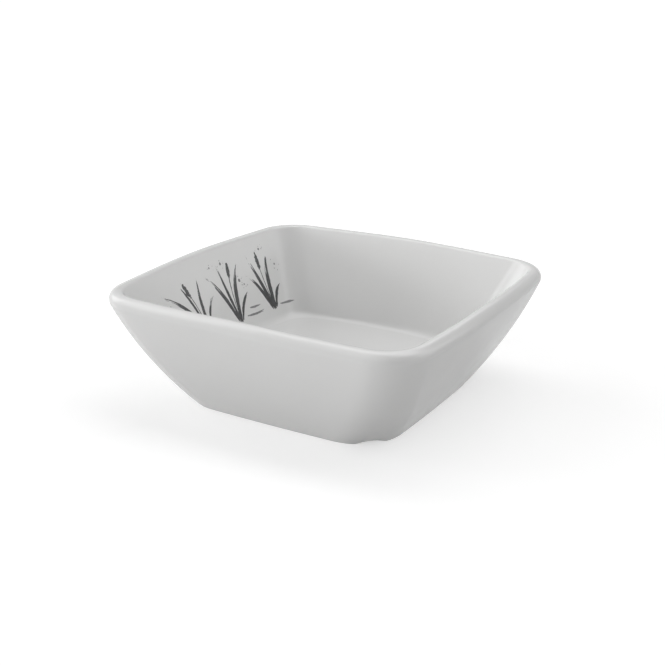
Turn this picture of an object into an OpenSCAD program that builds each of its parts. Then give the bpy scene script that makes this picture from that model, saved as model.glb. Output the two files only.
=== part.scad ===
// Square bowl: a cast porcelain shell with a brushed ink decoration fired onto one inner wall.
// +Z is up, the origin is in the middle of the ground face, and the decorated wall is the one at -X.

/* [Rim] */
// Width across the middles of two opposite sides, at the lip
rim_w = 120; // [116:0.5:140]
// Height of the lip at the corners
rim_h = 40; // [36:0.5:50]
// How much higher the lip is at the middle of each side
rim_rise = 0.6; // [0:0.1:1.5]
// Radius of the outward bow of each side at the lip
rim_side_r = 490; // [200:10:1200]
// Radius of the rounded corners at the lip
rim_corner_r = 16.2; // [13:0.2:24]
// Width of the lip, from its inner to its outer side
lip_w = 5; // [4.6:0.1:7]
// Radius of the lip's outer edge
lip_out_r = 2.8; // [1.2:0.1:2.8]
// Radius of the lip's inner edge
lip_in_r = 1.8; // [0.8:0.1:1.8]

/* [Foot] */
// Width across the outer edges of the ground face
foot_w = 79.2; // [70:0.1:84]
// Radius of the outward bow of each side at the foot
foot_side_r = 840; // [300:10:2000]
// Radius of the rounded corners at the foot
foot_corner_r = 16.4; // [13:0.2:24]
// Width of the ground face
foot_ring_w = 4; // [3:0.1:6]
// Radius of the foot ring's edges
foot_edge_r = 0.8; // [0.5:0.1:1.2]
// Depth ground off the round foot ring to make the ground face
foot_grind = 0.1; // [0.05:0.01:0.3]
// Depth of the recess under the bowl
recess_d = 2.6; // [2:0.1:3.2]
// Depth of the drain notch at each corner of the foot ring
notch_d = 1; // [0.4:0.1:1.2]
// Width of a drain notch at half its depth
notch_w = 7; // [5:0.5:10]
// Width of the soft slope at each side of a notch
notch_slope = 5; // [3:0.5:5]

/* [Walls and floor] */
// Radius of the outward bulge of the outer wall, from foot to lip
outer_wall_r = 155; // [110:5:400]
// Radius of the outward bulge of the inner wall, from floor to lip
inner_wall_r = 170; // [110:5:400]
// Height of the inner floor
floor_z = 9.2; // [7.5:0.1:10]
// Width of the flat inner floor
floor_w = 77.6; // [68:0.2:80]
// Radius of the outward bow of each side of the floor
floor_side_r = 160; // [140:10:900]
// Radius of the rounded corners of the floor
floor_corner_r = 10; // [7:0.2:14]
// Radius between the floor and the walls
floor_fillet_r = 4; // [2:0.2:5]

/* [Ink] */
// Thickness of the fired ink film
ink_t = 0.2; // [0.1:0.05:0.4]
// Width of the decorated field, along the wall
field_w = 76; // [50:1:78]
// Drop from the lip to the top of the field
field_drop = 5; // [5:0.5:10]
// Height of the lower edge of the field above the inner floor
field_lift = 3.8; // [3.8:0.2:6]
// Width of the broadest blade
blade_w = 1.9; // [1:0.1:3]
// Width of a blade's tip, a stem and a ripple's ends
hair_w = 0.35; // [0.2:0.05:0.6]
// Length of a seed head
head_len = 6; // [4:0.5:8]
// Width of a seed head
head_w = 1.7; // [1:0.1:2.6]
// Width of a ripple in its middle
ripple_w = 0.7; // [0.5:0.1:1.2]
// Radius of the largest speck
speck_r = 0.6; // [0.3:0.05:0.9]

/* [Hidden] */

// Steps of the mesh: along a side, round a corner, up a wall, round the lip's edges and the small radii
side_n = 8;
corner_n = 14;
wall_n = 6;
lip_n = 5;
foot_n = 3;
fillet_n = 4;
side_count = 4;
quarter_n = side_n + corner_n;
ring_n = side_count*quarter_n;

// Colours of the glazed body and of the ink
porcelain = [0.87, 0.87, 0.86];
ink_dark = [0.2, 0.2, 0.21];
ink_wash = [0.42, 0.42, 0.43];

// The overrun of a cut past the surface that it cuts
over = 1;

// Centres of the profile's round edges, as [half width, height]
edge_z = foot_edge_r - foot_grind;
edge_in = sqrt(foot_edge_r*foot_edge_r - edge_z*edge_z);
foot_out_c = [foot_w/2 - edge_in, edge_z];
foot_in_c = [foot_w/2 - foot_ring_w + edge_in, edge_z];
recess_r = recess_d - edge_z;
recess_c = [foot_in_c.x - foot_edge_r - recess_r, edge_z];
lip_out_c = [rim_w/2 - lip_out_r, rim_h - lip_out_r];
lip_in_c = [rim_w/2 - lip_w + lip_in_r, rim_h - lip_in_r];
fillet_c = [floor_w/2, floor_z + floor_fillet_r];

// Centre of a circle that lies at distance p_gap from p and q_gap from q, to the left of the way from p to q
function meet(p, p_gap, q, q_gap) =
    let (way = q - p, far = norm(way), along = (p_gap*p_gap - q_gap*q_gap + far*far)/(2*far))
    p + way*along/far + [-way.y, way.x]*sqrt(p_gap*p_gap - along*along)/far;

// Direction from one point to another, in degrees
function heading(p, q) = atan2(q.y - p.y, q.x - p.x);

// The two wall arcs run tangent into the edges at their ends
outer_wall_c = meet(foot_out_c, outer_wall_r - foot_edge_r, lip_out_c, outer_wall_r - lip_out_r);
inner_wall_c = meet(fillet_c, inner_wall_r - floor_fillet_r, lip_in_c, inner_wall_r + lip_in_r);
outer_low_a = heading(outer_wall_c, foot_out_c);
outer_top_a = heading(outer_wall_c, lip_out_c);
inner_low_a = heading(inner_wall_c, fillet_c);
inner_top_a = heading(inner_wall_c, lip_in_c);

function polar(r, a) = r*[cos(a), sin(a)];
function mix(a, b, t) = a + (b - a)*t;
function share_of(value, low, high) = min(1, max(0, (value - low)/(high - low)));

// Points along an arc after its first point
function arc(centre, r, from_a, to_a, n) = [for (i = [1:n]) centre + polar(r, mix(from_a, to_a, i/n))];

// A level of the shell is [half width, height, radius of the sides, radius of the corners]
function rim_level(p) = let (inset = rim_w/2 - p.x) [p.x, p.y, rim_side_r - inset, rim_corner_r - inset];
function foot_level(p) = let (inset = foot_w/2 - p.x) [p.x, p.y, foot_side_r - inset, foot_corner_r - inset];
function between(low, high, p) =
    let (t = share_of(p.y, low[1], high[1]))
    [p.x, p.y, 1/mix(1/low[2], 1/high[2], t), mix(low[3], high[3], t)];

outer_low = foot_level(outer_wall_c + polar(outer_wall_r, outer_low_a));
outer_top = rim_level(outer_wall_c + polar(outer_wall_r, outer_top_a));
inner_low = [floor_w/2, floor_z, floor_side_r, floor_corner_r];
inner_top = rim_level(inner_wall_c + polar(inner_wall_r, inner_top_a));

// A level of the inner wall at an angle of its arc, lifted off the wall into the bowl
function inner_wall_level(a, lift = 0) =
    let (on_wall = between(inner_low, inner_top, inner_wall_c + polar(inner_wall_r, a)))
    [on_wall[0] - lift*cos(a), on_wall[1] - lift*sin(a), on_wall[2] - lift*cos(a), on_wall[3]];

// Angles of the inner wall's levels, from the lip down to the floor's fillet
inner_wall_angles = [for (i = [0:wall_n]) mix(inner_top_a, inner_low_a, i/wall_n)];

// Levels from the recess's ceiling out round the foot, up the outer wall, over the lip and down to the floor
levels = concat(
    [foot_level(recess_c + polar(recess_r, 90))],
    [for (p = arc(recess_c, recess_r, 90, 0, foot_n)) foot_level(p)],
    [for (p = arc(foot_in_c, foot_edge_r, 180, 270, foot_n)) foot_level(p)],
    [foot_level(foot_out_c - [0, foot_edge_r])],
    [for (p = arc(foot_out_c, foot_edge_r, -90, outer_low_a, foot_n)) foot_level(p)],
    [for (p = arc(outer_wall_c, outer_wall_r, outer_low_a, outer_top_a, wall_n)) between(outer_low, outer_top, p)],
    [rim_level(lip_out_c + [lip_out_r, 0])],
    [for (p = arc(lip_out_c, lip_out_r, 0, 90, lip_n)) rim_level(p)],
    [rim_level(lip_in_c + [0, lip_in_r])],
    [for (p = arc(lip_in_c, lip_in_r, 90, 180 + inner_top_a, lip_n)) rim_level(p)],
    [for (i = [1:wall_n]) inner_wall_level(inner_wall_angles[i])],
    [for (p = arc(fillet_c, floor_fillet_r, inner_low_a, -90, fillet_n)) between(inner_low, inner_top, p)]);

// One quarter of a level: the bowed side at +Y and the corner after it, clockwise from above
function quarter(level) =
    let (
        side_r = level[2],
        corner_r = level[3],
        back = side_r - level[0],
        corner_c = (sqrt(2*(side_r - corner_r)*(side_r - corner_r) - back*back) - back)/2,
        end_a = atan2(corner_c, corner_c + back)
    )
    concat(
        [for (i = [0:side_n - 1])
            let (a = mix(-end_a, end_a, i/side_n)) [side_r*sin(a), side_r*cos(a) - back]],
        [for (i = [0:corner_n - 1])
            let (a = mix(end_a, 90 - end_a, i/corner_n)) [corner_c, corner_c] + corner_r*[sin(a), cos(a)]]);

function turned(p, a) = [p.x*cos(a) - p.y*sin(a), p.x*sin(a) + p.y*cos(a)];

// The lip climbs towards the middle of each side
function rise(p, z) = rim_rise*pow(cos(2*atan2(p.y, p.x)), 2)*share_of(z, floor_z, rim_h);

// A drain notch lifts the foot ring next to each diagonal
function notch_lift(p, z) =
    let (
        off_line = abs(abs(p.x) - abs(p.y))/sqrt(2),
        across = share_of(off_line, (notch_w - notch_slope)/2, (notch_w + notch_slope)/2),
        up = share_of(z, 0, recess_d)
    )
    notch_d*(1 + cos(180*across))/2*(1 + cos(180*up))/2;

function placed(p, z) = [p.x, p.y, z + rise(p, z) + notch_lift(p, z)];
function ring(level) =
    [for (k = [0:side_count - 1], p = quarter(level)) placed(turned(p, -k*360/side_count), level[1])];

// Triangles between two neighbouring rows of points, for rows of row_n points
function strip(low, row_n, from, to) =
    [for (j = [from:to])
        let (a = low + j, b = low + (j + 1) % row_n) each [[a, b, b + row_n], [a, b + row_n, a + row_n]]];

// The whole shell before its foot is ground flat
module cast_shell() {
    last = len(levels) - 1;
    polyhedron(
        points = [for (level = levels) each ring(level)],
        faces = concat(
            [[for (j = [ring_n - 1:-1:0]) j]],
            [for (i = [0:last - 1]) each strip(i*ring_n, ring_n, 0, ring_n - 1)],
            [[for (j = [0:ring_n - 1]) last*ring_n + j]]),
        convexity = 4);
}

// Porcelain body: walls, lip, floor and a notched foot ring that is ground flat
module bowl_body() {
    color(porcelain)
        difference() {
            cast_shell();
            translate([-rim_w/2, -rim_w/2, -over])
                cube([rim_w, rim_w, over]);
        }
}

// The decorated wall's part of a level, which is the side at -X
decorated_side = 3;
function wall_row(level) =
    let (points = ring(level), first = decorated_side*quarter_n)
    [for (j = [0:side_n]) points[(first + j) % ring_n]];

// A film that lies face to face on the decorated wall
module ink_film() {
    row_n = side_n + 1;
    rows = wall_n + 1;
    front = rows*row_n;
    back_faces = [for (i = [0:wall_n - 1]) each strip(i*row_n, row_n, 0, side_n - 1)];
    rim_loop = concat(
        [for (j = [0:side_n]) j],
        [for (i = [1:wall_n]) i*row_n + side_n],
        [for (j = [side_n - 1:-1:0]) wall_n*row_n + j],
        [for (i = [wall_n - 1:-1:1]) i*row_n]);
    loop_n = len(rim_loop);
    polyhedron(
        points = concat(
            [for (a = inner_wall_angles) each wall_row(inner_wall_level(a))],
            [for (a = inner_wall_angles) each wall_row(inner_wall_level(a, ink_t))]),
        faces = concat(
            [for (f = back_faces) [f[2], f[1], f[0]]],
            [for (f = back_faces) [front + f[0], front + f[1], front + f[2]]],
            [for (i = [0:loop_n - 1])
                let (a = rim_loop[i], b = rim_loop[(i + 1) % loop_n])
                each [[a, b, front + b], [a, front + b, front + a]]]),
        convexity = 4);
}

// Ink on the decorated wall where an outline covers it, the outline drawn as [along the wall, height]
module inked() {
    intersection() {
        ink_film();
        translate([-rim_w/2, 0, 0])
            rotate([90, 0, 90])
                linear_extrude(height = rim_w/2)
                    children();
    }
}

// A place in the decorated field, from shares of its half width and of its height
field_z = floor_z + field_lift;
field_h = rim_h - field_drop - field_z;
function in_field(shares) = [shares.x*field_w/2, field_z + shares.y*field_h];

function bezier(p, q, r, t) = p*(1 - t)*(1 - t) + q*2*t*(1 - t) + r*t*t;
function left_of(v) = [-v.y, v.x]/norm(v);

// A brush stroke from p over q to r that swells from thin to broad and back, and is broadest at share peak
stroke_n = 10;
module stroke(p, q, r, thin, broad, peak) {
    power = log(0.5)/log(peak);
    sides = [for (i = [0:stroke_n])
        let (
            t = i/stroke_n,
            half = mix(thin, broad, sin(180*pow(t, power)))/2,
            aside = left_of((q - p)*(1 - t) + (r - q)*t)*half,
            middle = bezier(p, q, r, t)
        )
        [middle + aside, middle - aside]];
    polygon(concat([for (s = sides) s[0]], [for (i = [stroke_n:-1:0]) sides[i][1]]));
}

// A blade is [root, bend, tip, share of the blade's width]
blade_peak_share = 0.36;
module blades(rows) {
    for (b = rows)
        stroke(in_field(b[0]), in_field(b[1]), in_field(b[2]), hair_w, blade_w*b[3], blade_peak_share);
}

// A seed head on its stem is [root, bend, top of the stem]
head_n = 16;
module seed_heads(rows) {
    for (s = rows) {
        top = in_field(s[2]);
        along = top - in_field(s[1]);
        stroke(in_field(s[0]), in_field(s[1]), top, hair_w, hair_w, blade_peak_share);
        translate(top)
            rotate(heading([0, 0], along))
                translate([head_len/2 - hair_w, 0])
                    scale([head_len/head_w, 1])
                        circle(d = head_w, $fn = head_n);
    }
}

// Places are shares of the field: -1 to 1 along the wall from the left, 0 to 1 up it
left_blades_shares = [
    [[-0.32, 0.08], [-0.42, 0.62], [-0.86, 0.90], 0.75],
    [[-0.30, 0.05], [-0.36, 0.70], [-0.55, 1.00], 0.60],
    [[-0.28, 0.06], [-0.26, 0.60], [-0.20, 0.92], 0.80],
    [[-0.26, 0.08], [-0.16, 0.50], [-0.02, 0.58], 0.55]];
left_heads_shares = [[[-0.29, 0.06], [-0.30, 0.42], [-0.37, 0.68]]];
middle_blades_shares = [
    [[0.18, 0.04], [0.12, 0.60], [-0.08, 0.86], 0.90],
    [[0.20, 0.02], [0.18, 0.60], [0.13, 0.98], 0.70],
    [[0.22, 0.02], [0.28, 0.62], [0.46, 0.90], 1.00],
    [[0.24, 0.04], [0.34, 0.36], [0.50, 0.42], 0.60]];
middle_heads_shares = [[[0.21, 0.03], [0.22, 0.40], [0.27, 0.72]]];
right_blades_shares = [
    [[0.70, 0.03], [0.66, 0.50], [0.52, 0.64], 0.80],
    [[0.72, 0.02], [0.70, 0.60], [0.60, 0.96], 0.85],
    [[0.74, 0.02], [0.80, 0.60], [0.92, 0.90], 1.00],
    [[0.76, 0.04], [0.86, 0.36], [0.98, 0.40], 0.60]];
right_heads_shares = [[[0.73, 0.03], [0.74, 0.40], [0.75, 0.68]]];

// A ripple is [left end, bend, right end]
ripples_shares = [
    [[0.32, 0.07], [0.44, 0.04], [0.60, 0.07]],
    [[0.40, 0.17], [0.48, 0.15], [0.58, 0.17]],
    [[0.82, 0.07], [0.90, 0.05], [1.00, 0.08]],
    [[-0.16, 0.08], [-0.02, 0.05], [0.12, 0.07]]];

// A speck is [place, share of the largest speck's radius]
specks_shares = [
    [[-0.72, 0.62], 0.70], [[-0.64, 0.52], 0.50], [[0.03, 0.97], 0.60], [[0.21, 0.97], 0.85],
    [[0.40, 0.62], 1.00], [[0.45, 0.54], 0.55], [[0.84, 0.98], 0.75], [[0.98, 0.68], 0.60]];
speck_n = 16;

module reeds(blade_rows, head_rows) {
    color(ink_dark)
        inked() {
            blades(blade_rows);
            seed_heads(head_rows);
        }
}

// Clump of reeds next to the left end of the decorated wall
module ink_left_reeds() {
    reeds(left_blades_shares, left_heads_shares);
}

// Clump of reeds in the middle of the decorated wall
module ink_middle_reeds() {
    reeds(middle_blades_shares, middle_heads_shares);
}

// Clump of reeds next to the right end of the decorated wall
module ink_right_reeds() {
    reeds(right_blades_shares, right_heads_shares);
}

// Ripples of thin wash at the reeds' feet
module ink_ripples() {
    color(ink_wash)
        inked()
            for (s = ripples_shares)
                stroke(in_field(s[0]), in_field(s[1]), in_field(s[2]), hair_w, ripple_w, 0.5);
}

// Specks that the brush threw off
module ink_specks() {
    color(ink_wash)
        inked()
            for (s = specks_shares)
                translate(in_field(s[0]))
                    circle(r = speck_r*s[1], $fn = speck_n);
}

bowl_body();
ink_left_reeds();
ink_middle_reeds();
ink_right_reeds();
ink_ripples();
ink_specks();
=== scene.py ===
"""Square bowl: glazed porcelain with a brushed ink pattern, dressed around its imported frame."""
import math

import bpy
import numpy as np
from mathutils import Matrix, Vector


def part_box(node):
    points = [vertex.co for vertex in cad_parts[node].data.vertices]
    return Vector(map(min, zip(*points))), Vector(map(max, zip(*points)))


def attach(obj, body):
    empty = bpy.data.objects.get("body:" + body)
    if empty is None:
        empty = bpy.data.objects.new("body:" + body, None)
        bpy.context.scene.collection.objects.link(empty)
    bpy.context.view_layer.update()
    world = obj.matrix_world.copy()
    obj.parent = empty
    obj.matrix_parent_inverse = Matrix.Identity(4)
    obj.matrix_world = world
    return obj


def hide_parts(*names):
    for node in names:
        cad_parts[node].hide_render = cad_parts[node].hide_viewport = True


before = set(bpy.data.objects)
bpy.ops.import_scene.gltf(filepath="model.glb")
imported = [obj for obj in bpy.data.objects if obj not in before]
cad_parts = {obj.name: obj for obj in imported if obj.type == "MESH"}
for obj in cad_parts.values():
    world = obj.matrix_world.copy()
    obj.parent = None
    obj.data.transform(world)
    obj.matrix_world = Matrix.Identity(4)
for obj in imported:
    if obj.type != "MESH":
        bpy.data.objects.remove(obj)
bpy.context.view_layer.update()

MM = 0.001

# The body's driving sizes, in metres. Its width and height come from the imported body.
body_low, body_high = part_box("bowl_body")
RIM_W = body_high.x - body_low.x
RIM_RISE = 0.6 * MM
RIM_H = body_high.z - RIM_RISE
RIM_SIDE_R = 490 * MM
RIM_CORNER_R = 16.2 * MM
LIP_W = 5 * MM
LIP_OUT_R = 2.8 * MM
LIP_IN_R = 1.8 * MM
FOOT_W = 79.2 * MM
FOOT_SIDE_R = 840 * MM
FOOT_CORNER_R = 16.4 * MM
FOOT_RING_W = 4 * MM
FOOT_EDGE_R = 0.8 * MM
FOOT_GRIND = 0.1 * MM
RECESS_D = 2.6 * MM
NOTCH_D = 1 * MM
NOTCH_W = 7 * MM
NOTCH_SLOPE = 5 * MM
OUTER_WALL_R = 155 * MM
INNER_WALL_R = 170 * MM
FLOOR_Z = 9.2 * MM
FLOOR_W = 77.6 * MM
FLOOR_SIDE_R = 160 * MM
FLOOR_CORNER_R = 10 * MM
FLOOR_FILLET_R = 4 * MM

# The decorated field on the inner wall at -X, and the widths and sizes of what the brush leaves on it
FIELD_W = 76 * MM
FIELD_LOW = FLOOR_Z + 3.8 * MM
FIELD_TOP = RIM_H - 5 * MM
BLADE_W = 1.9 * MM
HAIR_W = 0.35 * MM
HEAD_LEN = 6 * MM
HEAD_W = 1.7 * MM
RIPPLE_W = 0.7 * MM
SPECK_R = 0.6 * MM

# The ink's film: how far it stands over the glaze and how deep it sits in it, how far in from its outline it
# stands at its full height, and the share of that height that it has at its outline
INK_T = 0.035 * MM
INK_SINK = 0.02 * MM
INK_EDGE = 0.2 * MM
INK_EDGE_SHARE = 0.3

# The grid that the ink is drawn on: a cell, the grid's margins round the field, the depth where there is no
# ink, and the share of a cell's side that an outline's point keeps away from the cell's corners
CELL = 0.14 * MM
MARGIN_ALONG = 4 * MM
MARGIN_UP = 1 * MM
OUTSIDE = -1.0
CORNER_GAP_SHARE = 0.04

# A brush stroke's ragged edge: how long, how far apart and how high its bumps are
RAGGED_LEN = 0.9 * MM
RAGGED_W = 0.5 * MM
RAGGED_H = 0.16 * MM

# A dry brush's streaks: their length and width, how deep inside the ink they make a place, how much of them
# dryness takes away and what it leaves, and the share of a stroke's length at which it would be fully dry
STREAK_LEN = 4 * MM
STREAK_W = 0.17 * MM
STREAK_DEPTH = 0.5 * MM
DRY_SHARE = 0.9
WET_REST = 0.05
DRY_END_SHARE = 1.05

# How much dryness, grain and streaks change a stroke's tone, and the size of the grain
DRY_FADE = 0.45
GRAIN_FADE = 0.22
STREAK_FADE = 0.18
GRAIN = 0.6 * MM

# A blot: how far it may reach and how big the bumps of its edge are, as shares of its half length and half
# width, how much grain changes its tone, and the size of the grain
BLOT_REACH_SHARE = 1.6
BLOT_BUMP_SHARE = 0.55
BLOT_FADE = 0.3
BLOT_GRAIN = 0.5 * MM

# Seeds of the noise and of the droplets
RAGGED_SEED = 3
STREAK_SEED = 7
TONE_SEED = 11
DROPLET_SEED = 5

# How far the noise is shifted for the first clump of reeds, and how much further for each next clump, blade,
# ripple and speck, so that no two look alike. Streaks are shifted across a stroke by a multiple of that.
FIRST_SHIFT = 1
REEDS_SHIFT = 5
BLADE_SHIFT = 17
RIPPLE_SHIFT = 31
SPECK_SHIFT = 13
STREAK_SHIFT = 3

# Steps of the smooth mesh, and of a stroke's line
SIDE_N = 40
CORNER_N = 24
WALL_N = 28
EDGE_N = 10
CAP_N = 12
STROKE_N = 90

# How far apart the points are that give the wall's direction, and how often its rise is worked out anew
WALL_STEP = 0.05 * MM
RISE_ROUNDS = 3

# The photograph's view: a lens in millimetres on a 36 mm sensor, and the camera's place round the bowl, its
# angles in degrees
LENS = 61.475
VIEW_AZIMUTH = 29.944
VIEW_ELEVATION = 19.831
VIEW_ROLL = 0.8125
VIEW_DISTANCE = 394.28 * MM
VIEW_AIM = Vector((0, 0, 20 * MM))


def pair(x, y):
    """A point or direction in a plane."""
    return np.array((x, y), float)


def polar(r, angle):
    """The step of length r at an angle."""
    return r * pair(math.cos(angle), math.sin(angle))


def heading(p, q):
    """The angle of the way from p to q."""
    return math.atan2(q[1] - p[1], q[0] - p[0])


def meet(p, p_gap, q, q_gap):
    """Centre of a circle at distance p_gap from p and q_gap from q, to the left of the way from p to q."""
    way = q - p
    far = math.hypot(*way)
    along = (p_gap**2 - q_gap**2 + far**2) / (2 * far)
    return p + way * along / far + pair(-way[1], way[0]) * math.sqrt(p_gap**2 - along**2) / far


def arc(centre, r, from_angle, to_angle, n):
    """Points along an arc after its first point."""
    return [centre + polar(r, from_angle + (to_angle - from_angle) * i / n) for i in range(1, n + 1)]


def share_of(value, low, high):
    """How far a value is on its way from low to high, as a share that stays from 0 to 1."""
    return np.clip((value - low) / (high - low), 0, 1)


# A level is a half width, a height, the radius of its sides and the radius of its corners.
def rim_level(p):
    """The level at a profile point of the lip, which runs beside the rim's outline."""
    inset = RIM_W / 2 - p[0]
    return p[0], p[1], RIM_SIDE_R - inset, RIM_CORNER_R - inset


def foot_level(p):
    """The level at a profile point of the foot, which runs beside the foot's outline."""
    inset = FOOT_W / 2 - p[0]
    return p[0], p[1], FOOT_SIDE_R - inset, FOOT_CORNER_R - inset


def between(low, high, p):
    """The level at a profile point of a wall between its low and high level."""
    t = share_of(p[1], low[1], high[1])
    return p[0], p[1], 1 / ((1 - t) / low[2] + t / high[2]), low[3] + (high[3] - low[3]) * t


# Centres of the profile's edges, and the two wall arcs that run tangent into them
edge_z = FOOT_EDGE_R - FOOT_GRIND
edge_in = math.sqrt(FOOT_EDGE_R**2 - edge_z**2)
foot_out_c = pair(FOOT_W / 2 - edge_in, edge_z)
foot_in_c = pair(FOOT_W / 2 - FOOT_RING_W + edge_in, edge_z)
recess_r = RECESS_D - edge_z
recess_c = pair(foot_in_c[0] - FOOT_EDGE_R - recess_r, edge_z)
lip_out_c = pair(RIM_W / 2 - LIP_OUT_R, RIM_H - LIP_OUT_R)
lip_in_c = pair(RIM_W / 2 - LIP_W + LIP_IN_R, RIM_H - LIP_IN_R)
fillet_c = pair(FLOOR_W / 2, FLOOR_Z + FLOOR_FILLET_R)
outer_c = meet(foot_out_c, OUTER_WALL_R - FOOT_EDGE_R, lip_out_c, OUTER_WALL_R - LIP_OUT_R)
inner_c = meet(fillet_c, INNER_WALL_R - FLOOR_FILLET_R, lip_in_c, INNER_WALL_R + LIP_IN_R)
outer_low_a, outer_top_a = heading(outer_c, foot_out_c), heading(outer_c, lip_out_c)
inner_low_a, inner_top_a = heading(inner_c, fillet_c), heading(inner_c, lip_in_c)
outer_low = foot_level(outer_c + polar(OUTER_WALL_R, outer_low_a))
outer_top = rim_level(outer_c + polar(OUTER_WALL_R, outer_top_a))
inner_low = (FLOOR_W / 2, FLOOR_Z, FLOOR_SIDE_R, FLOOR_CORNER_R)
inner_top = rim_level(inner_c + polar(INNER_WALL_R, inner_top_a))


def body_levels():
    """Levels from the recess's ceiling round the foot, up the outside, over the lip, down to the floor."""
    quarter = math.pi / 2
    foot_in = [recess_c + polar(recess_r, quarter)]
    foot_in += arc(recess_c, recess_r, quarter, 0, EDGE_N)
    foot_in += arc(foot_in_c, FOOT_EDGE_R, 2 * quarter, 3 * quarter, EDGE_N)
    foot_out = [foot_out_c - pair(0, FOOT_EDGE_R)]
    foot_out += arc(foot_out_c, FOOT_EDGE_R, -quarter, outer_low_a, EDGE_N)
    outer = arc(outer_c, OUTER_WALL_R, outer_low_a, outer_top_a, WALL_N)
    lip = arc(lip_out_c, LIP_OUT_R, outer_top_a, 0, EDGE_N)
    lip += arc(lip_out_c, LIP_OUT_R, 0, quarter, EDGE_N)
    lip += [lip_in_c + pair(0, LIP_IN_R)]
    lip += arc(lip_in_c, LIP_IN_R, quarter, 2 * quarter + inner_top_a, EDGE_N)
    inner = arc(inner_c, INNER_WALL_R, inner_top_a, inner_low_a, WALL_N)
    inner += arc(fillet_c, FLOOR_FILLET_R, inner_low_a, -quarter, EDGE_N)
    return (
        [foot_level(p) for p in foot_in + foot_out]
        + [between(outer_low, outer_top, p) for p in outer]
        + [rim_level(p) for p in lip]
        + [between(inner_low, inner_top, p) for p in inner]
    )


def corner_of(half, side_r, corner_r):
    """Centre of a level's corner on both axes, and the angle at which its side ends."""
    back = side_r - half
    centre = (np.sqrt(2 * (side_r - corner_r) ** 2 - back**2) - back) / 2
    return centre, np.arctan2(centre, centre + back)


def rise(x, y, z):
    """The lip climbs towards the middle of each side."""
    return RIM_RISE * np.cos(2 * np.arctan2(y, x)) ** 2 * share_of(z, FLOOR_Z, RIM_H)


def notch_lift(x, y, z):
    """A drain notch lifts the foot ring next to each diagonal."""
    off_line = np.abs(np.abs(x) - np.abs(y)) / math.sqrt(2)
    across = share_of(off_line, (NOTCH_W - NOTCH_SLOPE) / 2, (NOTCH_W + NOTCH_SLOPE) / 2)
    up = share_of(z, 0, RECESS_D)
    return NOTCH_D * (1 + np.cos(math.pi * across)) / 2 * (1 + np.cos(math.pi * up)) / 2


def ring(level):
    """A level's points, clockwise from above, as rows of x, y and z."""
    half, z, side_r, corner_r = level
    centre, end = corner_of(half, side_r, corner_r)
    side = end * (2 * np.arange(SIDE_N) / SIDE_N - 1)
    turn = end + (math.pi / 2 - 2 * end) * np.arange(CORNER_N) / CORNER_N
    x = np.concatenate((side_r * np.sin(side), centre + corner_r * np.sin(turn)))
    y = np.concatenate((side_r * np.cos(side) - side_r + half, centre + corner_r * np.cos(turn)))
    quarters = [(x, y), (y, -x), (-x, -y), (-y, x)]
    x, y = (np.concatenate([q[axis] for q in quarters]) for axis in (0, 1))
    return np.stack((x, y, np.maximum(z + rise(x, y, z) + notch_lift(x, y, z), 0)), axis=1)


def smooth_object(name, points, faces, materials):
    """A mesh object with smooth faces that rides on the bowl's one body."""
    mesh = bpy.data.meshes.new(name)
    mesh.from_pydata([tuple(p) for p in points], [], faces)
    mesh.validate()
    mesh.shade_smooth()
    for material in materials:
        mesh.materials.append(material)
    piece = bpy.data.objects.new(name, mesh)
    bpy.context.scene.collection.objects.link(piece)
    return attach(piece, "root")


def point_values(piece, name, values):
    """Keeps one number for each vertex of a piece."""
    attribute = piece.data.attributes.new(name, "FLOAT", "POINT")
    attribute.data.foreach_set("value", np.asarray(values, np.float32))


def porcelain_body(glaze, bare):
    """The cast body as one closed skin, glazed all over but for the ground face of its foot."""
    rows = [ring(level) for level in body_levels()]
    # Rows that shrink toward a point in the middle fill the recess's ceiling and the inner floor.
    inwards = [1 - (i + 1) / (CAP_N + 1) for i in range(CAP_N)]
    ceiling = [rows[0] * (s, s, 1) for s in reversed(inwards)]
    floor = [rows[-1] * (s, s, 1) for s in inwards]
    rows = ceiling + rows + floor
    ring_n = len(rows[0])
    points = list(np.concatenate(rows)) + [(0, 0, RECESS_D), (0, 0, FLOOR_Z)]
    low_centre, top_centre = len(points) - 2, len(points) - 1
    last = (len(rows) - 1) * ring_n
    faces = []
    for j in range(ring_n):
        k = (j + 1) % ring_n
        faces.append((low_centre, j, k))
        faces.append((top_centre, last + k, last + j))
        faces += [(i + j, i + j + ring_n, i + k + ring_n, i + k) for i in range(0, last, ring_n)]
    piece = smooth_object("porcelain_body", points, faces, (glaze, bare))
    mesh = piece.data
    # What lies on the ground is bare, and the glaze ends there with a sharp edge.
    heights = [v.co.z for v in mesh.vertices]
    for face in mesh.polygons:
        if max(heights[v] for v in face.vertices) <= 0:
            face.material_index = 1
    border = {}
    for face in mesh.polygons:
        for key in face.edge_keys:
            border.setdefault(key, set()).add(face.material_index)
    for edge in mesh.edges:
        edge.use_edge_sharp = len(border[edge.key]) > 1
    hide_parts("bowl_body")


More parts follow.
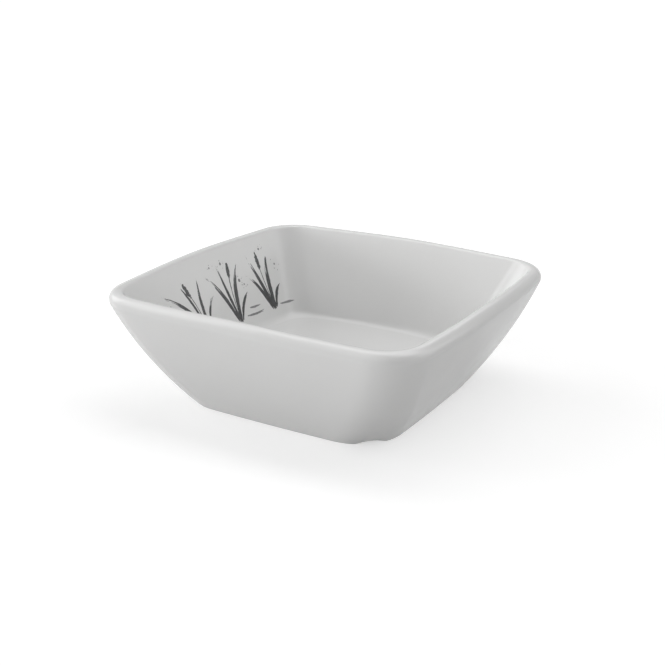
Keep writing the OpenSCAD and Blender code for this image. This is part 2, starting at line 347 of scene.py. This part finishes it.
def wall_place(along, height):
    """Points of the decorated wall, given distances along it and heights, and the way it faces there."""

    def wall_x(y, z):
        """The wall's x before its rise, by the same levels as the body's."""
        half = inner_c[0] + np.sqrt(INNER_WALL_R**2 - (z - inner_c[1]) ** 2)
        half, z, side_r, corner_r = between(inner_low, inner_top, (half, z))
        centre, end = corner_of(half, side_r, corner_r)
        y = np.abs(y)
        side_x = np.sqrt(side_r**2 - y**2) - (side_r - half)
        corner_x = centre + np.sqrt(np.maximum(corner_r**2 - (y - centre) ** 2, 0))
        return -np.where(y < side_r * np.sin(end), side_x, corner_x)

    def place(y, z):
        """The wall's points at y and at true heights z, found by taking the rise off the height."""
        flat = z
        for _ in range(RISE_ROUNDS):
            flat = z - rise(wall_x(y, flat), y, flat)
        return np.stack((wall_x(y, flat), y, z), axis=-1)

    here = place(along, height)
    up = place(along, height + WALL_STEP) - here
    side = place(along + WALL_STEP, height) - here
    out = np.cross(side, up)
    return here, out / np.linalg.norm(out, axis=-1, keepdims=True)


class Lattice:
    """Smooth noise from 0 to 1 over a plane, the same in each run."""

    SIZE = 256

    def __init__(self, seed):
        self.values = np.random.RandomState(seed).rand(self.SIZE, self.SIZE)

    def __call__(self, u, v):
        """The noise at places in the plane, which has one random value at each whole number of u and v."""
        i, j = np.floor(u).astype(int), np.floor(v).astype(int)
        a, b = u - i, v - j
        a, b = a * a * (3 - 2 * a), b * b * (3 - 2 * b)
        i, j, n = i % self.SIZE, j % self.SIZE, self.values
        i2, j2 = (i + 1) % self.SIZE, (j + 1) % self.SIZE
        return (n[i, j] * (1 - a) + n[i2, j] * a) * (1 - b) + (n[i, j2] * (1 - a) + n[i2, j2] * a) * b


ragged_noise = Lattice(RAGGED_SEED)
streak_noise = Lattice(STREAK_SEED)
tone_noise = Lattice(TONE_SEED)


def open_edges(faces):
    """The edges of faces that no other face shares, each with its face on its left."""
    edges = set()
    for face in faces:
        for edge in zip(face, face[1:] + face[:1]):
            if edge[::-1] in edges:
                edges.remove(edge[::-1])
            else:
                edges.add(edge)
    return edges


class InkField:
    """The decorated field as a grid: how deep inside the ink a point lies, and how dark the ink is there."""

    def __init__(self):
        self.u = np.arange(-FIELD_W / 2 - MARGIN_ALONG, FIELD_W / 2 + MARGIN_ALONG, CELL)
        self.v = np.arange(FIELD_LOW - MARGIN_UP, FIELD_TOP + MARGIN_UP, CELL)
        self.depth = np.full((len(self.u), len(self.v)), OUTSIDE)
        self.tone = np.zeros_like(self.depth)

    def window(self, points, reach):
        """The part of the grid within reach of some points."""
        low, high = np.min(points, axis=0) - reach, np.max(points, axis=0) + reach
        i = slice(*np.searchsorted(self.u, (low[0], high[0])))
        j = slice(*np.searchsorted(self.v, (low[1], high[1])))
        u, v = np.meshgrid(self.u[i], self.v[j], indexing="ij")
        return (i, j), u, v

    def add(self, window, depth, tone):
        """Lays ink over what is there already. Where both have ink, the darker tone stays."""
        depth_here, tone_here = self.depth[window], self.tone[window]
        deeper = depth > depth_here
        inked = depth > 0
        self.tone[window] = np.where(inked, np.maximum(tone_here, tone), np.where(deeper, tone, tone_here))
        self.depth[window] = np.maximum(depth_here, depth)

    def stroke(self, root, bend, tip, thin, broad, peak, tone, dry, shift):
        """A brush stroke that is broadest at share peak, and runs dry from share dry on."""
        t = np.linspace(0, 1, STROKE_N)
        line = np.outer((1 - t) ** 2, root) + np.outer(2 * t * (1 - t), bend) + np.outer(t * t, tip)
        window, u, v = self.window(line, broad)
        gaps = np.stack((u[..., None] - line[:, 0], v[..., None] - line[:, 1]), axis=-1)
        nearest = np.argmin((gaps**2).sum(axis=-1), axis=-1)
        gap = np.take_along_axis(gaps, nearest[..., None, None], axis=2)[..., 0, :]
        way = np.gradient(line, axis=0)
        way /= np.linalg.norm(way, axis=1, keepdims=True)
        way = way[nearest]
        across = gap[..., 0] * -way[..., 1] + gap[..., 1] * way[..., 0]
        past = gap[..., 0] * way[..., 0] + gap[..., 1] * way[..., 1]
        length = np.linalg.norm(np.diff(line, axis=0), axis=1).sum()
        at = t[nearest]
        swell = np.sin(math.pi * at ** (math.log(0.5) / math.log(peak)))
        half = (thin + (broad - thin) * swell) / 2
        run = at * length + past
        ragged = ragged_noise(run / RAGGED_LEN + shift, across / RAGGED_W + shift) - 0.5
        edge = half - np.hypot(across, np.where((at <= 0) | (at >= 1), past, 0)) + ragged * RAGGED_H
        streak = streak_noise(run / STREAK_LEN + shift, across / STREAK_W + STREAK_SHIFT * shift)
        dryness = share_of(at, dry, DRY_END_SHARE)
        bristles = (streak - DRY_SHARE * dryness + WET_REST) * STREAK_DEPTH
        depth = np.where(dryness > 0, np.minimum(edge, bristles), edge)
        grain = tone_noise(u / GRAIN, v / GRAIN) - 0.5
        shade = tone * (1 - DRY_FADE * dryness) + GRAIN_FADE * grain + STREAK_FADE * (streak - 0.5)
        self.add(window, depth, np.clip(shade, 0, 1))

    def blot(self, centre, half_long, half_wide, angle, tone, fringe, shift):
        """An inked oval with a ragged edge. Fringe is the raggedness as a share of its half width."""
        window, u, v = self.window([centre], BLOT_REACH_SHARE * half_long)
        du, dv = u - centre[0], v - centre[1]
        along = du * math.cos(angle) + dv * math.sin(angle)
        across = dv * math.cos(angle) - du * math.sin(angle)
        reach = np.hypot(along / half_long, across / half_wide)
        bump = BLOT_BUMP_SHARE * max(half_wide, CELL)
        ragged = ragged_noise(u / bump + shift, v / bump + shift) - 0.5
        depth = (1 - reach + 2 * fringe * ragged) * half_wide
        grain = tone_noise(u / BLOT_GRAIN + shift, v / BLOT_GRAIN) - 0.5
        self.add(window, depth, np.clip(tone + BLOT_FADE * grain, 0, 1))

    def cut(self):
        """The inked part, cut out along its outline: points with their depth and tone, and faces on them."""
        index, flat, faces = {}, [], []

        def vertex(key, u, v, depth, tone):
            if key not in index:
                index[key] = len(flat)
                flat.append((u, v, depth, tone))
            return index[key]

        depth, tone = self.depth, self.tone
        inside = depth > 0
        any_in = inside[:-1, :-1] | inside[1:, :-1] | inside[1:, 1:] | inside[:-1, 1:]
        for i, j in np.argwhere(any_in):
            corners = ((i, j), (i + 1, j), (i + 1, j + 1), (i, j + 1))
            face = []
            for n, here in enumerate(corners):
                there = corners[(n + 1) % 4]
                if inside[here]:
                    face.append(vertex(here, self.u[here[0]], self.v[here[1]], depth[here], tone[here]))
                if inside[here] != inside[there]:
                    a, b = sorted((here, there))
                    cut = depth[a] / (depth[a] - depth[b])
                    s = float(np.clip(cut, CORNER_GAP_SHARE, 1 - CORNER_GAP_SHARE))
                    u = self.u[a[0]] + (self.u[b[0]] - self.u[a[0]]) * s
                    v = self.v[a[1]] + (self.v[b[1]] - self.v[a[1]]) * s
                    face.append(vertex((a, b), u, v, 0, tone[a] if inside[a] else tone[b]))
            faces.append(face)
        return np.array(flat), faces

    def film(self, name, material, node):
        """Makes the inked part of the field a thin closed film on the wall, thinner toward its outline."""
        flat, faces = self.cut()
        here, out = wall_place(flat[:, 0], flat[:, 1])
        fullness = share_of(flat[:, 2], 0, INK_EDGE)
        lift = INK_T * (INK_EDGE_SHARE + (1 - INK_EDGE_SHARE) * fullness)
        points = np.concatenate((here + out * lift[:, None], here - out * INK_SINK))
        count = len(flat)
        under = [[v + count for v in reversed(face)] for face in faces]
        walls = [(b, a, a + count, b + count) for a, b in open_edges(faces)]
        piece = smooth_object(name, points, faces + under + walls, (material,))
        point_values(piece, "tone", np.tile(flat[:, 3], 2))
        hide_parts(node)


def in_field(shares):
    """The place that a pair of shares of the field gives."""
    return pair(shares[0] * FIELD_W / 2, FIELD_LOW + shares[1] * (FIELD_TOP - FIELD_LOW))


# Places are shares of the field: -1 to 1 along the wall from the left, 0 to 1 up it.
# A blade is root, bend, tip and a share of the blade's width. A seed head's stem is root, bend and top.
REEDS_SHARES = {
    "left": (
        [
            ((-0.32, 0.08), (-0.42, 0.62), (-0.86, 0.90), 0.75),
            ((-0.30, 0.05), (-0.36, 0.70), (-0.55, 1.00), 0.60),
            ((-0.28, 0.06), (-0.26, 0.60), (-0.20, 0.92), 0.80),
            ((-0.26, 0.08), (-0.16, 0.50), (-0.02, 0.58), 0.55),
        ],
        ((-0.29, 0.06), (-0.30, 0.42), (-0.37, 0.68)),
    ),
    "middle": (
        [
            ((0.18, 0.04), (0.12, 0.60), (-0.08, 0.86), 0.90),
            ((0.20, 0.02), (0.18, 0.60), (0.13, 0.98), 0.70),
            ((0.22, 0.02), (0.28, 0.62), (0.46, 0.90), 1.00),
            ((0.24, 0.04), (0.34, 0.36), (0.50, 0.42), 0.60),
        ],
        ((0.21, 0.03), (0.22, 0.40), (0.27, 0.72)),
    ),
    "right": (
        [
            ((0.70, 0.03), (0.66, 0.50), (0.52, 0.64), 0.80),
            ((0.72, 0.02), (0.70, 0.60), (0.60, 0.96), 0.85),
            ((0.74, 0.02), (0.80, 0.60), (0.92, 0.90), 1.00),
            ((0.76, 0.04), (0.86, 0.36), (0.98, 0.40), 0.60),
        ],
        ((0.73, 0.03), (0.74, 0.40), (0.75, 0.68)),
    ),
}
RIPPLES_SHARES = [
    ((0.32, 0.07), (0.44, 0.04), (0.60, 0.07)),
    ((0.40, 0.17), (0.48, 0.15), (0.58, 0.17)),
    ((0.82, 0.07), (0.90, 0.05), (1.00, 0.08)),
    ((-0.16, 0.08), (-0.02, 0.05), (0.12, 0.07)),
]
SPECKS_SHARES = [
    ((-0.72, 0.62), 0.70),
    ((-0.64, 0.52), 0.50),
    ((0.03, 0.97), 0.60),
    ((0.21, 0.97), 0.85),
    ((0.40, 0.62), 1.00),
    ((0.45, 0.54), 0.55),
    ((0.84, 0.98), 0.75),
    ((0.98, 0.68), 0.60),
]

# A droplet's least and greatest distance from its speck and radius, as shares of the speck's radius
DROPLET_FAR_SHARES = (1.6, 4)
DROPLET_R_SHARES = (0.18, 0.35)
DROPLETS_N = 5

# How the brush goes: the shares of a stroke's length at which it is broadest and begins to run dry, and how
# dark its ink is. A blot has the raggedness of its edge instead, as a share of its half width.
BLADE_BRUSH = {"peak": 0.36, "dry": 0.45, "tone": 0.82}
STEM_BRUSH = {"peak": 0.36, "dry": 0.95, "tone": 0.7}
RIPPLE_BRUSH = {"peak": 0.5, "dry": 0.6, "tone": 0.5}
HEAD_BLOT = {"fringe": 0.25, "tone": 0.75}
SPECK_BLOT = {"fringe": 0.15, "tone": 0.6}
DROPLET_BLOT = {"fringe": 0.05, "tone": 0.45}


def reeds(side, ink, shift):
    """A clump of reed blades and one seed head on its stem."""
    blades, head = REEDS_SHARES[side]
    field = InkField()
    for n, (root, bend, tip, width) in enumerate(blades):
        points = [in_field(p) for p in (root, bend, tip)]
        field.stroke(*points, HAIR_W, BLADE_W * width, shift=BLADE_SHIFT * n + shift, **BLADE_BRUSH)
    root, bend, top = (in_field(p) for p in head)
    field.stroke(root, bend, top, HAIR_W, HAIR_W, shift=shift, **STEM_BRUSH)
    angle = heading(bend, top)
    centre = top + polar(HEAD_LEN / 2 - HAIR_W, angle)
    field.blot(centre, HEAD_LEN / 2, HEAD_W / 2, angle, shift=shift, **HEAD_BLOT)
    field.film(f"reeds_{side}", ink, f"ink_{side}_reeds")


def ripples(wash):
    """Short level strokes at the feet of the reeds."""
    field = InkField()
    for n, row in enumerate(RIPPLES_SHARES):
        points = [in_field(p) for p in row]
        field.stroke(*points, HAIR_W, RIPPLE_W, shift=RIPPLE_SHIFT * n, **RIPPLE_BRUSH)
    field.film("ripples", wash, "ink_ripples")


def specks(wash):
    """Specks that the brush threw off, each with a few droplets round it."""
    field = InkField()
    random = np.random.RandomState(DROPLET_SEED)
    for n, (place, share) in enumerate(SPECKS_SHARES):
        centre = in_field(place)
        shift = SPECK_SHIFT * n
        field.blot(centre, SPECK_R * share, SPECK_R * share, 0, shift=shift, **SPECK_BLOT)
        for _ in range(DROPLETS_N):
            far = polar(SPECK_R * random.uniform(*DROPLET_FAR_SHARES), random.uniform(0, 2 * math.pi))
            size = SPECK_R * random.uniform(*DROPLET_R_SHARES)
            field.blot(centre + far, size, size, 0, shift=shift, **DROPLET_BLOT)
    field.film("specks", wash, "ink_specks")


def grey(value):
    """A neutral colour."""
    return (value, value, value, 1)


class Nodes:
    """The node tree of a material or a world, with short ways to add to it."""

    def __init__(self, owner):
        owner.use_nodes = True
        self.owner = owner
        self.tree = owner.node_tree
        self.shader = self.tree.nodes.get("Principled BSDF")

    def add(self, kind, **settings):
        """A new node. A setting is one of its inputs, or else one of its own properties."""
        node = self.tree.nodes.new(f"ShaderNode{kind}")
        for name, value in settings.items():
            if name in node.inputs:
                node.inputs[name].default_value = value
            else:
                setattr(node, name, value)
        return node

    def link(self, out, into):
        """Joins a node's output to another node's input."""
        self.tree.links.new(out, into)

    def calc(self, operation, *values):
        """A Math node's result for nodes' outputs and plain numbers."""
        node = self.add("Math", operation=operation)
        for value, into in zip(values, node.inputs):
            if hasattr(value, "links"):
                self.link(value, into)
            else:
                into.default_value = value
        return node.outputs[0]

    def noise(self, scale, detail=2.0, roughness=0.5):
        """Noise over the object's own space, its scale in features per metre."""
        place = self.add("TexCoord")
        noise = self.add("TexNoise", Scale=scale, Detail=detail, Roughness=roughness)
        self.link(place.outputs["Object"], noise.inputs["Vector"])
        return noise.outputs["Fac"]

    def ranged(self, value, low, high):
        """A value from 0 to 1 mapped to a range."""
        node = self.add("MapRange")
        self.link(value, node.inputs["Value"])
        node.inputs["To Min"].default_value = low
        node.inputs["To Max"].default_value = high
        return node.outputs["Result"]

    def mixed(self, share, first, second):
        """A colour that goes from the first to the second as a share goes from 0 to 1."""
        node = self.add("Mix", data_type="RGBA")
        self.link(share, node.inputs["Factor"])
        # The node's inputs 6 and 7 and its output 2 are its colours.
        node.inputs[6].default_value = first
        node.inputs[7].default_value = second
        return node.outputs[2]

    def bump(self, height, distance, normal=None):
        """The surface's direction, shaken by a height from 0 to 1 of which 1 is a distance."""
        node = self.add("Bump", Distance=distance, Strength=1.0)
        self.link(height, node.inputs["Height"])
        if normal:
            self.link(normal, node.inputs["Normal"])
        return node.outputs["Normal"]


# Scales below are in features per metre, and each roughness that varies is its least and greatest value.
GLAZE_WHITE = (0.80, 0.80, 0.795, 1)
GLAZE_SHADE = (0.775, 0.775, 0.77, 1)
GLAZE_ROUGHNESS = (0.10, 0.17)
GLAZE_IOR = 1.5
CLOUD_SCALE = 55
GLOSS_SCALE = 160
WAVE_SCALE = 90
WAVE_H = 0.05 * MM
PEEL_SCALE = 900
PEEL_H = 0.002 * MM

BARE_LIGHT = (0.72, 0.70, 0.66, 1)
BARE_DARK = (0.60, 0.58, 0.54, 1)
BARE_ROUGHNESS = 0.75
SPECKLE_SCALE = 1800
GRIT_SCALE = 4200
GRIT_H = 0.02 * MM

INK_BLACK = (0.025, 0.025, 0.027, 1)
INK_GREY = (0.17, 0.17, 0.175, 1)
WASH_DARK = (0.10, 0.10, 0.104, 1)
WASH_PALE = (0.34, 0.34, 0.345, 1)
INK_ROUGHNESS = (0.28, 0.42)
INK_IOR = 1.5
INK_GLOSS_SCALE = 2500
INK_GRAIN_SCALE = 3500
INK_GRAIN_H = 0.006 * MM


def glazed_porcelain():
    """Clear glaze over white porcelain: faint clouds in its colour, long waves and a fine orange peel."""
    n = Nodes(bpy.data.materials.new("glazed porcelain"))
    clouds = n.noise(CLOUD_SCALE, detail=3)
    n.link(n.mixed(clouds, GLAZE_SHADE, GLAZE_WHITE), n.shader.inputs["Base Color"])
    n.link(n.ranged(n.noise(GLOSS_SCALE, detail=3), *GLAZE_ROUGHNESS), n.shader.inputs["Roughness"])
    n.shader.inputs["IOR"].default_value = GLAZE_IOR
    waves = n.bump(n.noise(WAVE_SCALE, detail=1), WAVE_H)
    n.link(n.bump(n.noise(PEEL_SCALE), PEEL_H, waves), n.shader.inputs["Normal"])
    return n.owner


def bare_porcelain():
    """The ground face of the foot: fine, dry and a little creamy."""
    n = Nodes(bpy.data.materials.new("bare porcelain"))
    speckles = n.noise(SPECKLE_SCALE, detail=4, roughness=0.7)
    n.link(n.mixed(speckles, BARE_DARK, BARE_LIGHT), n.shader.inputs["Base Color"])
    n.shader.inputs["Roughness"].default_value = BARE_ROUGHNESS
    n.link(n.bump(n.noise(GRIT_SCALE, detail=3), GRIT_H), n.shader.inputs["Normal"])
    return n.owner


def fired_ink(name, pale, dark):
    """Ceramic ink that is paler where the brush ran dry."""
    n = Nodes(bpy.data.materials.new(name))
    tone = n.add("Attribute", attribute_name="tone")
    n.link(n.mixed(tone.outputs["Fac"], pale, dark), n.shader.inputs["Base Color"])
    n.link(n.ranged(n.noise(INK_GLOSS_SCALE), *INK_ROUGHNESS), n.shader.inputs["Roughness"])
    n.shader.inputs["IOR"].default_value = INK_IOR
    n.link(n.bump(n.noise(INK_GRAIN_SCALE), INK_GRAIN_H), n.shader.inputs["Normal"])
    return n.owner


def around(azimuth, elevation):
    """The direction to a place round the bowl. Azimuth 0 is on the -Y side and 90 on the +X side."""
    a, e = math.radians(azimuth), math.radians(elevation)
    return Vector((math.sin(a) * math.cos(e), -math.cos(a) * math.cos(e), math.sin(e)))


def seen_rays(n):
    """A value that is 1 for rays from the camera, and one that is 1 for reflected and refracted rays."""
    rays = n.add("LightPath").outputs
    return rays["Is Camera Ray"], n.calc("MAXIMUM", rays["Is Glossy Ray"], rays["Is Transmission Ray"])


# The studio's floor: half its width, its grey, and how strongly it glows where the camera sees it and where
# the glaze mirrors it. With the light that falls on it, it comes out white, but for the bowl's shadow.
STAGE_HALF = 4000 * MM
STAGE_GREY = 0.6
STAGE_GLOW = 0.55
STAGE_GLOW_MIRRORED = 0.4


def studio_floor():
    """A pale floor that shows white where it is lit and keeps the bowl's shadow."""
    corners = [(-1, -1), (1, -1), (1, 1), (-1, 1)]
    mesh = bpy.data.meshes.new("floor")
    mesh.from_pydata([(x * STAGE_HALF, y * STAGE_HALF, 0) for x, y in corners], [], [(0, 1, 2, 3)])
    n = Nodes(bpy.data.materials.new("floor"))
    n.tree.nodes.remove(n.shader)
    lit = n.add("BsdfDiffuse", Color=grey(STAGE_GREY))
    glow = n.add("Emission")
    camera, mirrored = seen_rays(n)
    level = n.calc("MULTIPLY_ADD", mirrored, STAGE_GLOW_MIRRORED, n.calc("MULTIPLY", camera, STAGE_GLOW))
    n.link(level, glow.inputs["Strength"])
    both = n.add("AddShader")
    n.link(lit.outputs[0], both.inputs[0])
    n.link(glow.outputs[0], both.inputs[1])
    n.link(both.outputs[0], n.tree.nodes["Material Output"].inputs["Surface"])
    mesh.materials.append(n.owner)
    floor = bpy.data.objects.new("floor", mesh)
    bpy.context.scene.collection.objects.link(floor)


# The studio's far soft lights. Each is a patch of the surroundings: the azimuth of its middle, its lowest
# and highest elevation, half its width and how softly its edge fades, all in degrees, then its strength and
# the share of its strength that shows in the glaze.
LIGHTS = {
    "left_window": (-56.5, 22, 52, 8.5, 2, 2.85, 0.75),
    "right_window": (-92, 8, 51, 17, 2, 2.05, 0.8),
    "low_left": (-50, 0, 14, 20, 8, 5.9, 0),
    "front": (10, 0, 20, 15, 10, 4.2, 0),
    "front_high": (0, 20, 45, 25, 12, 0.75, 1),
    "ceiling": (180, 50, 90, 90, 12, 2.0, 1),
    "right": (125, 0, 60, 22, 12, 1.2, 1),
    "back": (196, 24, 40, 8, 4, 1.0, 1),
}

# How white the surroundings are in the glaze, apart from the lights. At 1 the lip merges with the white
# behind it.
MIRRORED_WHITE = 0.6


def studio_world():
    """White where it is seen, pale in the glaze, with a few far soft lights that light the bowl."""
    world = bpy.data.worlds.new("studio")
    n = Nodes(world)
    way = n.add("TexCoord").outputs["Generated"]

    def along(direction):
        """How far a ray goes along a direction, from -1 to 1."""
        node = n.add("VectorMath", operation="DOT_PRODUCT")
        node.inputs[1].default_value = direction
        n.link(way, node.inputs[0])
        return node.outputs["Value"]

    def inside(angle, half, soft):
        """1 where an angle lies within half of 0 on either side, and fading to 0 at that edge."""
        node = n.add("MapRange", interpolation_type="SMOOTHSTEP")
        edges = {"From Min": math.radians(half - soft / 2), "From Max": math.radians(half + soft / 2)}
        for name, value in (edges | {"To Min": 1, "To Max": 0}).items():
            node.inputs[name].default_value = value
        n.link(n.calc("ABSOLUTE", angle), node.inputs["Value"])
        return node.outputs["Result"]

    elevation = n.calc("ARCSINE", along(around(0, 90)))
    lit = shown = 0.0
    for azimuth, low, high, half, soft, strength, share in LIGHTS.values():
        turn = n.calc("ARCTAN2", along(around(azimuth + 90, 0)), along(around(azimuth, 0)))
        lift = n.calc("SUBTRACT", elevation, math.radians((low + high) / 2))
        patch = n.calc("MULTIPLY", inside(turn, half, soft), inside(lift, (high - low) / 2, soft))
        lit = n.calc("MULTIPLY_ADD", patch, strength, lit)
        shown = n.calc("MULTIPLY_ADD", patch, strength * share, shown)
    camera, mirrored = seen_rays(n)
    white = n.calc("MULTIPLY_ADD", mirrored, MIRRORED_WHITE, camera)
    other = n.calc("SUBTRACT", n.calc("SUBTRACT", 1.0, camera), mirrored)
    level = n.calc("MULTIPLY_ADD", mirrored, shown, n.calc("MULTIPLY_ADD", other, lit, white))
    back = n.tree.nodes["Background"]
    back.inputs["Color"].default_value = grey(1)
    n.link(level, back.inputs["Strength"])
    bpy.context.scene.world = world


def photo_camera():
    """The camera at the photograph's place, turned by its small roll."""
    data = bpy.data.cameras.new("camera")
    data.lens = LENS
    camera = bpy.data.objects.new("camera", data)
    place = VIEW_AIM + around(VIEW_AZIMUTH, VIEW_ELEVATION) * VIEW_DISTANCE
    back = (place - VIEW_AIM).normalized()
    right = Vector((0, 0, 1)).cross(back).normalized()
    up = back.cross(right)
    roll = math.radians(VIEW_ROLL)
    across = right * math.cos(roll) + up * math.sin(roll)
    upright = up * math.cos(roll) - right * math.sin(roll)
    turn = Matrix((across, upright, back)).transposed()
    camera.matrix_world = Matrix.Translation(place) @ turn.to_4x4()
    bpy.context.scene.collection.objects.link(camera)
    bpy.context.scene.camera = camera


photo_camera()
studio_floor()
studio_world()
porcelain_body(glazed_porcelain(), bare_porcelain())
dark_ink = fired_ink("dark ink", INK_GREY, INK_BLACK)
for clump, side in enumerate(REEDS_SHARES):
    reeds(side, dark_ink, FIRST_SHIFT + REEDS_SHIFT * clump)
wash = fired_ink("ink wash", WASH_PALE, WASH_DARK)
ripples(wash)
specks(wash)
bpy.context.scene.view_settings.view_transform = "Standard"
